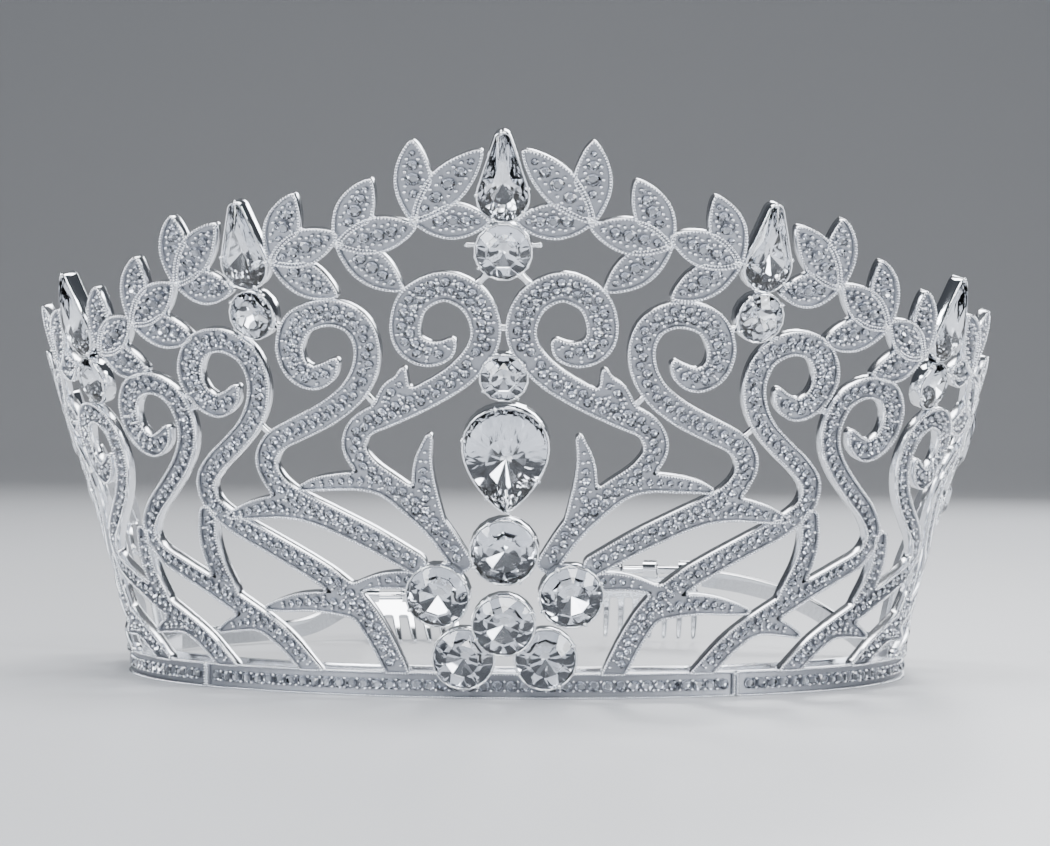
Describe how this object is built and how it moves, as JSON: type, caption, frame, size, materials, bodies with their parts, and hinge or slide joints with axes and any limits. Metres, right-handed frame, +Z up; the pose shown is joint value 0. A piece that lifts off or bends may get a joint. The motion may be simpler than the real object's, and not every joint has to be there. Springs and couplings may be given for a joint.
{
  "type": "crown",
  "caption": "Open-backed pageant crown: flared openwork wall of stone-set scrolls, leaf sprays and drop stones on a narrow band, with swinging hair combs on the rear arms.",
  "frame": {"origin": "centre of the bounding box in plan, on the plane that the band stands on", "axes": "+Z up, front of the crown towards -Y, +X to the viewer's right seen from the front"},
  "size_m": [0.164, 0.1603, 0.091],
  "materials": {
    "pave_metal": "bright silver-coloured plating, channels set with small clear stones between beaded edges",
    "plain_metal": "bright silver-coloured plating, plain and polished",
    "crystal": "clear faceted stone, polished"
  },
  "bodies": {
    "crown": {"band_left": "pave_metal", "band_front": "pave_metal", "band_right": "pave_metal", "scroll_1_right": "pave_metal", "scroll_1_left": "pave_metal", "scroll_2_right": "pave_metal", "scroll_2_left": "pave_metal", "scroll_3_right": "pave_metal", "scroll_3_left": "pave_metal", "scroll_4_right": "pave_metal", "scroll_4_left": "pave_metal", "scroll_5_right": "pave_metal", "scroll_5_left": "pave_metal", "scroll_6_right": "pave_metal", "scroll_6_left": "pave_metal", "scroll_7_right": "pave_metal", "scroll_7_left": "pave_metal", "leaf_branch_1_right": "pave_metal", "leaf_branch_1_left": "pave_metal", "leaf_branch_2_right": "pave_metal", "leaf_branch_2_left": "pave_metal", "leaf_branch_3_right": "pave_metal", "leaf_branch_3_left": "pave_metal", "leaf_branch_4_right": "pave_metal", "leaf_branch_4_left": "pave_metal", "drop_setting_centre": "plain_metal", "drop_stone_centre": "crystal", "round_stone_centre": "crystal", "drop_setting_side_right": "plain_metal", "drop_setting_side_left": "plain_metal", "drop_stone_side_right": "crystal", "drop_stone_side_left": "crystal", "round_stone_side_right": "crystal", "round_stone_side_left": "crystal", "drop_setting_shoulder_right": "plain_metal", "drop_setting_shoulder_left": "plain_metal", "drop_stone_shoulder_right": "crystal", "drop_stone_shoulder_left": "crystal", "round_stone_shoulder_right": "crystal", "round_stone_shoulder_left": "crystal", "drop_setting_rear_right": "plain_metal", "drop_setting_rear_left": "plain_metal", "drop_stone_rear_right": "crystal", "drop_stone_rear_left": "crystal", "round_stone_rear_right": "crystal", "round_stone_rear_left": "crystal", "column_setting": "plain_metal", "column_pear_stone": "crystal", "column_round_stone": "crystal", "cluster_setting": "plain_metal", "cluster_stone_top": "crystal", "cluster_stone_left": "crystal", "cluster_stone_right": "crystal", "cluster_stone_lower_left": "crystal", "cluster_stone_lower_right": "crystal", "cluster_stone_front": "crystal", "rear_arm_right": "plain_metal", "rear_arm_left": "plain_metal"},
    "comb_right": {"comb_right": "plain_metal"},
    "comb_left": {"comb_left": "plain_metal"}
  },
  "joints": [
    {"name": "comb_right_swing", "type": "hinge", "parent": "crown", "child": "comb_right", "pos_m": [0.02422, 0.07657, 0.0144], "axis": [-0.9776, 0.2105, 0], "range_deg": [-12, 85]},
    {"name": "comb_left_swing", "type": "hinge", "parent": "crown", "child": "comb_left", "pos_m": [-0.02422, 0.07657, 0.0088], "axis": [-0.9776, -0.2105, 0], "range_deg": [-59, 38]}
  ]
}
